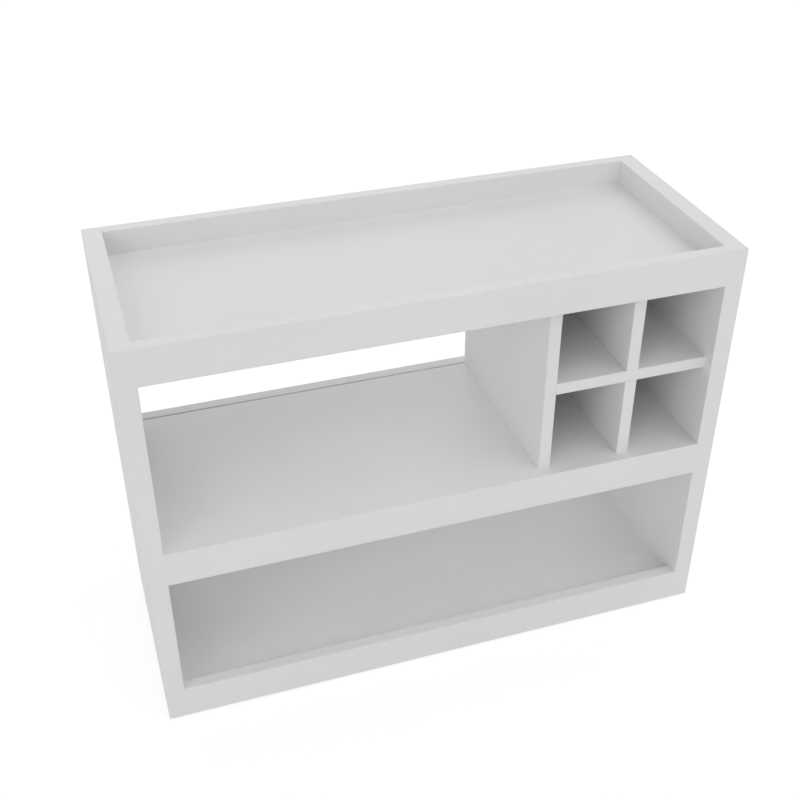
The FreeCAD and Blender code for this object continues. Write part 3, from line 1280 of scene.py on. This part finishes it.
@dataclass(frozen=True)
class Board:
    """One lacquered board, made afresh on the box of its CAD node.

    Its arrises are rounded over where they are open, and left square where another board joins.

    Attributes:
        node: CAD node that the board stands for.
        flat: Axis across the outline.
        outline: Outline across the axis, or None for a plain rectangle.
        radius: Rounding of an open arris.
        rub_band: Widest band that hands rub along an open arris.
        rub_share: The band's share of a thin board.
        segments: Facets round an arris.
    """

    node: str
    flat: Axis
    outline: Outline | None = None
    radius: float = 0.0012
    rub_band: float = 0.005
    rub_share: float = 0.3
    segments: int = 3

    def plain_outline(self, box: Box) -> Outline:
        """Gives the rectangle of a board without cut-outs.

        Args:
            box: Lowest and highest corner of the board.

        Returns:
            Its four corners across the flat axis.
        """
        across = [index for index in range(3) if index != self.flat.value]
        (left, near), (right, far) = ([corner[index] for index in across] for corner in box)
        return (left, near), (right, near), (right, far), (left, far)

    def point(self, pair: tuple[float, float], level: float) -> list[float]:
        """Places a point of the outline at a level of the flat axis.

        Args:
            pair: The point across the flat axis.
            level: Its place along the axis.

        Returns:
            The point's three coordinates.
        """
        place = list(pair)
        place.insert(self.flat.value, level)
        return place

    def blank(self, box: Box) -> bmesh.types.BMesh:
        """Extrudes the outline through the thickness.

        Args:
            box: Lowest and highest corner of the board.

        Returns:
            A closed mesh.
        """
        outline = self.outline or self.plain_outline(box)
        shape = bmesh.new()
        rings = []
        for corner in box:
            level = corner[self.flat.value]
            rings.append([shape.verts.new(self.point(pair, level)) for pair in outline])
        for ring in rings:
            shape.faces.new(ring)
        for here in range(len(outline)):
            there = (here + 1) % len(outline)
            shape.faces.new((rings[0][here], rings[0][there], rings[1][there], rings[1][here]))
        bmesh.ops.recalc_face_normals(shape, faces=shape.faces)
        return shape

    def score(self, shape: bmesh.types.BMesh, box: Box, joined: list[Box]) -> None:
        """Cuts lines into the faces, a band inside every edge and where a joined board ends.

        Args:
            shape: The board.
            box: Its lowest and highest corner.
            joined: Lowest and highest corner of each board that it joins.
        """
        thinnest = min(high - low for low, high in zip(*box))
        band = min(self.rub_band, self.rub_share * thinnest)
        planes = [
            (face.calc_center_median() - face.normal * band, face.normal.copy())
            for face in shape.faces
        ]
        for axis in Axis:
            low, high = (corner[axis.value] for corner in box)
            for level in sorted({corner[axis.value] for ends in joined for corner in ends}):
                if low + band < level < high - band:
                    planes.append((axis.unit() * level, axis.unit()))
        for place, normal in planes:
            everything = [*shape.verts, *shape.edges, *shape.faces]
            bmesh.ops.bisect_plane(
                shape, geom=everything, dist=MERGE_DISTANCE, plane_co=place, plane_no=normal
            )

    def round_over(self, shape: bmesh.types.BMesh, joined: list[Box]) -> None:
        """Rounds the open arrises over, and marks them as a little rubbed.

        Args:
            shape: The board.
            joined: Lowest and highest corner of each board that it joins.
        """
        rub = shape.loops.layers.float.new("rub")
        arrises = []
        for edge in shape.edges:
            middle = (edge.verts[0].co + edge.verts[1].co) / 2
            hidden = any(meets((middle, middle), other, JOINT_GAP) for other in joined)
            if edge.calc_face_angle() > SHARP_ANGLE and not hidden:
                arrises.append(edge)
                for loop in edge.link_loops:
                    loop[rub] = loop.link_loop_next[rub] = 1.0
        bmesh.ops.bevel(
            shape,
            geom=arrises,
            offset=self.radius,
            offset_type="OFFSET",
            segments=self.segments,
            profile=0.5,
            affect="EDGES",
            clamp_overlap=True,
            loop_slide=True,
        )

    def build(self, finish: Finish) -> bpy.types.Object:
        """Makes the board, rounds its arrises, drills it and puts it in its node's place.

        Args:
            finish: Finish of the whole board.

        Returns:
            The finished piece.
        """
        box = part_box(self.node)
        others = [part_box(node) for node in BOARDS if node != self.node]
        joined = [other for other in others if meets(other, box, JOINT_GAP)]
        shape = self.blank(box)
        self.score(shape, box, joined)
        self.round_over(shape, joined)
        mesh = bpy.data.meshes.new(self.node)
        shape.to_mesh(mesh)
        shape.free()
        mesh.materials.append(finish.material())
        piece = new_object(f"lacquered_{self.node}", mesh)
        for kind in FITTINGS:
            kind.drill(piece, box)
        piece.data.shade_smooth()
        piece.data.set_sharp_from_angle(angle=SHARP_ANGLE)
        even = piece.modifiers.new("flat faces", "WEIGHTED_NORMAL")
        even.keep_sharp = True
        settle(piece)
        seat(piece, self.node)
        return piece


@dataclass(frozen=True)
class Assembly(ABC):
    """Boards that belong together.

    Attributes:
        finish: Finish of every board.
    """

    finish: Finish = LACQUER

    @abstractmethod
    def boards(self) -> Iterator[Board]:
        """Lists the boards.

        Yields:
            Each board, with its outline and rounding.
        """

    def build(self) -> list[bpy.types.Object]:
        """Makes every board, and gives the finished pieces."""
        return [board.build(self.finish) for board in self.boards()]


@dataclass(frozen=True)
class Carcass(Assembly):
    """Two sides, and the rails and panels of three tiers.

    Attributes:
        tiers: Names of the tiers, as their rails have them.
        panels: Panels of the tiers.
        radius: Rounding of the open arrises.
    """

    tiers: tuple[str, ...] = ("top", "shelf", "base")
    panels: tuple[str, ...] = ("tray_floor", "middle_shelf", "base_panel")
    radius: float = 0.0012

    def boards(self) -> Iterator[Board]:
        """Lists the sides, the rails and the panels.

        Yields:
            Each board, with its outline and rounding.
        """
        for side in ("left_side", "right_side"):
            yield Board(side, Axis.X, radius=self.radius)
        for tier in self.tiers:
            yield Board(f"{tier}_front_rail", Axis.Y, radius=self.radius)
            yield Board(f"{tier}_rear_rail", Axis.Y, radius=self.radius)
        for panel in self.panels:
            yield Board(panel, Axis.Z, radius=self.radius)


@dataclass(frozen=True)
class BottleRack(Assembly):
    """Two uprights and a cross shelf, half-lapped into each other, with a thin back.

    Attributes:
        lap_play: Play on each side of a board in its notch.
        radius: Rounding of the boards' open arrises.
        back_radius: Rounding of the thin back's.
    """

    lap_play: float = 0.00015
    radius: float = 0.001
    back_radius: float = 0.0005

    def centre_outline(self) -> Outline:
        """Gives the centre upright's outline, notched from the front for the cross shelf.

        Returns:
            Its corners, from the side.
        """
        low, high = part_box("rack_centre_divider")
        shelf_low, shelf_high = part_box("rack_cross_shelf")
        lap = (low.y + high.y) / 2
        bottom, top = shelf_low.z - self.lap_play, shelf_high.z + self.lap_play
        board = ((low.y, low.z), (high.y, low.z), (high.y, high.z), (low.y, high.z))
        return board + ((low.y, top), (lap, top), (lap, bottom), (low.y, bottom))

    def cross_outline(self) -> Outline:
        """Gives the cross shelf's outline, notched from the back for the centre upright.

        Returns:
            Its corners, from above.
        """
        low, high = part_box("rack_cross_shelf")
        upright_low, upright_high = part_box("rack_centre_divider")
        lap = (low.y + high.y) / 2
        left, right = upright_low.x - self.lap_play, upright_high.x + self.lap_play
        board = ((low.x, high.y), (low.x, low.y), (high.x, low.y), (high.x, high.y))
        return board + ((right, high.y), (right, lap), (left, lap), (left, high.y))

    def boards(self) -> Iterator[Board]:
        """Lists the uprights, the cross shelf and the back.

        Yields:
            Each board, with its outline and rounding.
        """
        yield Board("rack_left_divider", Axis.X, radius=self.radius)
        yield Board("rack_centre_divider", Axis.X, self.centre_outline(), self.radius)
        yield Board("rack_cross_shelf", Axis.Z, self.cross_outline(), self.radius)
        yield Board("rack_back", Axis.Y, radius=self.back_radius)


@dataclass(frozen=True)
class StemwareChannels(Assembly):
    """Strips on spacers under the middle shelf, with a slot for stems between each two.

    Attributes:
        strips: Number of strips.
        nose: Corner cut off as a lead-in.
        radius: Rounding of the open arrises.
    """

    strips: int = 5
    nose: float = 0.012
    radius: float = 0.0008

    def nosed_outline(self, node: str, left_open: bool, right_open: bool) -> Outline:
        """Gives a strip's outline with its rear corners cut off at the channels.

        Args:
            node: CAD node of the strip.
            left_open: Whether a channel lies on its left.
            right_open: Whether a channel lies on its right.

        Returns:
            Its corners, from above.
        """
        low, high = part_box(node)
        rear_right: Outline = ((high.x, high.y),)
        rear_left: Outline = ((low.x, high.y),)
        if right_open:
            rear_right = ((high.x, high.y - self.nose), (high.x - self.nose, high.y))
        if left_open:
            rear_left = ((low.x + self.nose, high.y), (low.x, high.y - self.nose))
        return ((low.x, low.y), (high.x, low.y), *rear_right, *rear_left)

    def boards(self) -> Iterator[Board]:
        """Lists the spacers and the strips.

        Yields:
            Each board, with its outline and rounding.
        """
        for number in range(1, self.strips + 1):
            strip = f"stemware_strip_{number}"
            outline = self.nosed_outline(strip, number > 1, number < self.strips)
            yield Board(f"stemware_spacer_{number}", Axis.X, radius=self.radius)
            yield Board(strip, Axis.Z, outline, self.radius)


@dataclass(frozen=True)
class Fittings:
    """Dowels, cams, screws, glides and nails.

    Attributes:
        kinds: Every kind of fitting.
    """

    kinds: tuple[TurnedSet, ...] = FITTINGS

    def build(self) -> list[bpy.types.Object]:
        """Turns every kind of fitting, and gives the finished pieces."""
        return [kind.build() for kind in self.kinds]


@dataclass(frozen=True)
class StudioFloor(Finish):
    """Seamless white floor that keeps a soft shadow.

    Attributes:
        paint: Colour that light bounces off.
        shown: Share of its own shading that the camera sees.
        lift: White that is added for the camera.
        grain: Grain of the paint.
        grain_depth: Depth of the grain, in metres.
    """

    paint: Colour = (0.90, 0.90, 0.90, 1.0)
    shown: Colour = (0.30, 0.30, 0.30, 1.0)
    lift: float = 0.775
    grain: Mottle = Mottle(30.0, 4.0)
    grain_depth: float = 0.00005

    def shader(self, web: NodeWeb) -> bpy.types.Node:
        """Adds the plain floor for light, and the whiter one for what the camera sees.

        Args:
            web: The material's tree.

        Returns:
            The node that shades the surface.
        """
        normal = web.bump(self.grain.height(web, web.place()), self.grain_depth)
        plain = web.add("ShaderNodeBsdfDiffuse", {"Color": self.paint, "Normal": normal})
        pale = web.add("ShaderNodeBsdfDiffuse", {"Color": self.shown})
        glow = web.add("ShaderNodeEmission", {"Strength": self.lift})
        white = web.add("ShaderNodeAddShader", {0: pale, 1: glow})
        return web.add("ShaderNodeMixShader", {0: seen_rays(web), 1: plain, 2: white})


def seen_rays(web: NodeWeb) -> bpy.types.Node:
    """Adds the nodes that pick out rays from the camera, and those that a surface passes on.

    Args:
        web: Tree of a material or of the world.

    Returns:
        A node that gives 1 for such rays.
    """
    path = web.add("ShaderNodeLightPath").outputs
    passed_on = web.math("MAXIMUM", path["Is Glossy Ray"], path["Is Transmission Ray"])
    return web.math("MAXIMUM", path["Is Camera Ray"], passed_on)


@dataclass(frozen=True)
class SoftLamp:
    """Broad distant lamp with soft shadows.

    Attributes:
        name: Name of the lamp.
        azimuth: Where it stands, in degrees from the front towards the right.
        elevation: Its height above the horizon, in degrees.
        spread: Its breadth, in degrees.
        strength: Its strength.
        distance: How far off its object stands, in metres.
    """

    name: str
    azimuth: float
    elevation: float
    spread: float
    strength: float
    distance: float = 4.0

    def build(self) -> bpy.types.Object:
        """Adds the lamp.

        Returns:
            The lamp's object.
        """
        lamp = bpy.data.lights.new(self.name, "SUN")
        lamp.energy = self.strength
        lamp.angle = math.radians(self.spread)
        made = bpy.data.objects.new(self.name, lamp)
        raised = Matrix.Rotation(math.radians(-self.elevation), 3, "X")
        turned = Matrix.Rotation(math.radians(self.azimuth), 3, "Z")
        source = turned @ raised @ -Axis.Y.unit()
        made.rotation_euler = (-source).to_track_quat("-Z", "Y").to_euler()
        made.location = source * self.distance
        bpy.context.scene.collection.objects.link(made)
        return made


@dataclass(frozen=True)
class Viewpoint:
    """Camera at the photograph's viewing angle.

    Attributes:
        eye: Where the camera stands, in metres.
        azimuth: How far it looks from the back towards the right, in degrees.
        fall: How far it looks down, in degrees.
        roll: How far it is tilted about its view, in degrees.
        lens: Focal length, in millimetres.
        sensor: Width of the sensor, in millimetres.
    """

    eye: tuple[float, float, float] = (-0.50372, -1.50865, 1.49465)
    azimuth: float = 17.926
    fall: float = 34.356
    roll: float = -0.142
    lens: float = 52.35
    sensor: float = 36.0

    def build(self) -> bpy.types.Object:
        """Adds the camera and makes it the scene's own.

        Returns:
            The camera's object.
        """
        lens = bpy.data.cameras.new("photo_camera")
        lens.lens = self.lens
        lens.sensor_width = self.sensor
        made = bpy.data.objects.new("photo_camera", lens)
        turn = Matrix.Rotation(math.radians(-self.azimuth), 4, "Z")
        tilt = Matrix.Rotation(math.radians(90 - self.fall), 4, "X")
        roll = Matrix.Rotation(math.radians(self.roll), 4, "Z")
        made.matrix_world = Matrix.Translation(self.eye) @ turn @ tilt @ roll
        bpy.context.scene.collection.objects.link(made)
        bpy.context.scene.camera = made
        return made


@dataclass(frozen=True)
class Studio:
    """Plain pale floor, soft light and the camera.

    Attributes:
        floor_radius: Radius of the floor.
        floor_points: Points round the floor's edge.
        sky: Strength of the light from all around.
        lamps: Soft lamps that shape the light.
        camera: The camera.
    """

    floor_radius: float = 14.0
    floor_points: int = 64
    sky: float = 0.484
    lamps: tuple[SoftLamp, ...] = (
        SoftLamp("key_lamp", -40.0, 20.0, 50.0, 0.72),
        SoftLamp("right_lamp", 60.0, 55.0, 60.0, 0.79),
        SoftLamp("back_lamp", 180.0, 25.0, 60.0, 0.94),
    )
    camera: Viewpoint = Viewpoint()

    def floor(self) -> bpy.types.Object:
        """Lays the floor.

        Returns:
            The floor's object.
        """
        shape = bmesh.new()
        bmesh.ops.create_circle(
            shape, cap_ends=True, segments=self.floor_points, radius=self.floor_radius
        )
        mesh = bpy.data.meshes.new("studio_floor")
        shape.to_mesh(mesh)
        shape.free()
        mesh.materials.append(StudioFloor("studio_floor").material())
        made = new_object("studio_floor", mesh)
        return made

    def world(self) -> None:
        """Sets the even light from all around, which the camera sees as white."""
        made = bpy.data.worlds.new("studio_world")
        made.use_nodes = True
        made.node_tree.nodes.clear()
        web = NodeWeb(made.node_tree)
        pure = (1.0, 1.0, 1.0, 1.0)
        light = web.add("ShaderNodeBackground", {"Color": pure, "Strength": self.sky})
        white = web.add("ShaderNodeBackground", {"Color": pure, "Strength": 1.0})
        mixed = web.add("ShaderNodeMixShader", {0: seen_rays(web), 1: light, 2: white})
        web.add("ShaderNodeOutputWorld", {"Surface": mixed})
        bpy.context.scene.world = made

    def build(self) -> None:
        """Sets up the floor, the light and the camera."""
        self.floor()
        self.world()
        for lamp in self.lamps:
            lamp.build()
        self.camera.build()
        bpy.context.scene.view_settings.view_transform = "Standard"


def main() -> None:
    """Builds the sideboard's sub-assemblies in order, then the studio round them."""
    logging.basicConfig(level=logging.INFO, format="%(message)s")
    for assembly in (Carcass(), BottleRack(), StemwareChannels(), Fittings()):
        pieces = assembly.build()
        LOG.info("%s: %d pieces", type(assembly).__name__, len(pieces))
    Studio().build()


if __name__ == "__main__":
    main()
